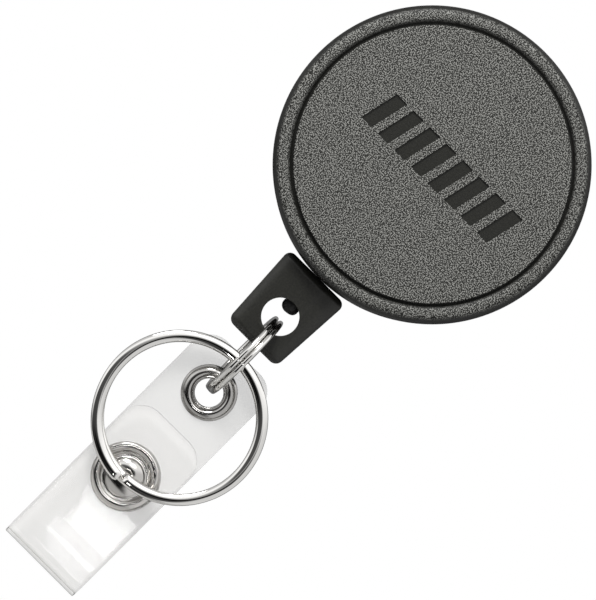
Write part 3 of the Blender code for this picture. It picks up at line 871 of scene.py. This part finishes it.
def snap_pieces(satin, bright):
    """The snap's domed cap on the flap, and its eyelet behind the strap."""
    cap = Box("snap_cap")
    centre = (cap.centre.x + SNAP_SHIFT[0], cap.centre.z + SNAP_SHIFT[1])
    radius = cap.size.x / 2
    face = -Box("strap_flap").low.y + METAL_GAP
    rim = []
    for a in range(170, 0, -10):
        out = SNAP_RIM_MIDDLE[0] + SNAP_RIM_HALF[0] * cos(radians(a))
        rim.append((out, SNAP_RIM_MIDDLE[1] + SNAP_RIM_HALF[1] * sin(radians(a))))
    profile = [
        *[(out, face + height) for out, height in SNAP_DOME + rim],
        (radius, face + 0.3),
        (radius - 0.1, face),
        (0, face),
    ]
    made = lathe("snap_cap_front", profile, centre, bright, lean=SNAP_LEAN, sharp=70)
    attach(made, "flap")
    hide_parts("snap_cap")

    eyelet = Box("snap_eyelet")
    radius = eyelet.size.x / 2
    rear = -Box("strap_back").high.y - METAL_GAP
    profile = [
        (0, rear),
        (radius, rear),
        (radius + 0.05, rear - 0.15),
        (radius - 0.2, rear - 0.4),
        *[(out, rear - height) for out, height in SNAP_REAR],
    ]
    made = lathe("snap_rear_eyelet", profile, centre, satin, sharp=70)
    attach(made, "strap")
    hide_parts("snap_eyelet")


def finish_cad_nodes(frame, materials):
    """Give the CAD nodes that stay visible their materials and smooth round faces."""
    slots = {row["node"]: row["material_slot"] for row in frame["record"]["subparts"]}
    for name, node in frame["nodes"].items():
        if node.hide_render:
            continue
        node.data.materials.clear()
        node.data.materials.append(materials[slots[name]])
        node.data.shade_smooth()
        weld = node.modifiers.new("weld", "WELD")
        weld.merge_threshold = 0.01 * MM
        split = node.modifiers.new("split", "EDGE_SPLIT")
        split.split_angle = radians(35)


# ---------------------------------------------------------------- stage


def camera():
    """Square on to the front, rolled."""
    data = bpy.data.cameras.new("camera")
    data.sensor_width = SENSOR
    data.lens = SENSOR * CAMERA_DISTANCE / VIEW_HEIGHT
    data.clip_end = CAMERA_REACH
    made = bpy.data.objects.new("camera", data)
    bpy.context.scene.collection.objects.link(made)
    front = -Box("front_cover").low.y
    made.location = Vector((VIEW_CENTRE[0], -front + VIEW_DEPTH - CAMERA_DISTANCE, VIEW_CENTRE[1])) * MM
    turn = Matrix.Rotation(radians(90), 4, "X") @ Matrix.Rotation(radians(CAMERA_ROLL), 4, "Z")
    made.rotation_euler = turn.to_euler()
    bpy.context.scene.camera = made


def softbox(name, place, target, size, power, mirrored):
    """An area light that faces a target, in metres and watts. Unless mirrored it casts no highlights."""
    data = bpy.data.lights.new(name, "AREA")
    data.shape = "RECTANGLE"
    data.size, data.size_y = size
    data.energy = power
    made = bpy.data.objects.new(name, data)
    bpy.context.scene.collection.objects.link(made)
    made.visible_glossy = mirrored
    made.location = place
    made.rotation_euler = (Vector(target) - Vector(place)).to_track_quat("-Z", "Y").to_euler()


def along(tree, source, direction, stops):
    """Brightness over stops of (share, value), by how far a view direction points along another."""
    dot = tree.nodes.new("ShaderNodeVectorMath")
    dot.operation = "DOT_PRODUCT"
    dot.inputs[1].default_value = direction
    tree.links.new(source, dot.inputs[0])
    half = tree.nodes.new("ShaderNodeMath")
    half.operation = "MULTIPLY_ADD"
    half.inputs[1].default_value = 0.5
    half.inputs[2].default_value = 0.5
    tree.links.new(dot.outputs["Value"], half.inputs[0])
    return ramp(tree, half.outputs["Value"], [((share + 1) / 2, value) for share, value in stops])


def grey(tree, tone):
    """A plain grey output."""
    made = tree.nodes.new("ShaderNodeRGB")
    made.outputs["Color"].default_value = (tone, tone, tone, 1)
    return made.outputs["Color"]


def world():
    """White for the camera, a plain grey for dull surfaces, and a studio with dark parts for mirrors."""
    made = bpy.data.worlds.new("studio")
    bpy.context.scene.world = made
    made.use_nodes = True
    tree = made.node_tree
    place = tree.nodes.new("ShaderNodeTexCoord").outputs["Generated"]
    across = along(tree, place, PICTURE_UP, BAND_ACROSS)
    ahead = along(tree, place, FRONT, BAND_AHEAD)
    band = combined(tree, "MAXIMUM", across, ahead)
    studio = combined(tree, "MULTIPLY", along(tree, place, PICTURE_UP, SKY_STOPS), band)
    for axis, stops in SHADES:
        studio = combined(tree, "MULTIPLY", studio, along(tree, place, axis, stops))
    studio = combined(tree, "ADD", studio, along(tree, place, GLINT, GLINT_STOPS))
    path = tree.nodes.new("ShaderNodeLightPath")
    seen = mixed(tree, path.outputs["Is Diffuse Ray"], studio, grey(tree, DIFFUSE_TONE))
    seen = mixed(tree, path.outputs["Is Camera Ray"], seen, grey(tree, 1))
    tree.links.new(seen, tree.nodes["Background"].inputs["Color"])


def stage():
    """A plain pale floor well below the hanging reel, lights and the world."""
    shape = bmesh.new()
    bmesh.ops.create_circle(shape, cap_ends=True, segments=64, radius=FLOOR_RADIUS)
    bmesh.ops.translate(shape, vec=(0, 0, FLOOR_Z), verts=shape.verts)
    pale = new_material("pale_floor", (0.85, 0.85, 0.84), 0.7)[0]
    add_mesh("floor", shape, pale)
    for light in SOFTBOXES:
        softbox(*light)
    world()
    bpy.context.scene.view_settings.view_transform = "Standard"


def main():
    for obj in list(bpy.data.objects):
        bpy.data.objects.remove(obj)
    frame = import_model()
    materials = make_materials()
    camera()
    front_cover_piece(materials["front_grain_and_groove_shade"], materials["fitting_plastic"])
    back_shell_piece(materials["case_plastic"])
    fitting_piece(materials["fitting_plastic"])
    cord_pieces(materials["cord_nylon"])
    ring_pieces(materials["nickel_plate"])
    strap_piece(materials["clear_vinyl"], materials["flap_vinyl_lightened"], materials["vinyl_edge_shade"])
    grommet_pieces(materials["satin_nickel"])
    snap_pieces(materials["satin_nickel"], materials["cap_nickel"])
    finish_cad_nodes(frame, materials)
    stage()


main()
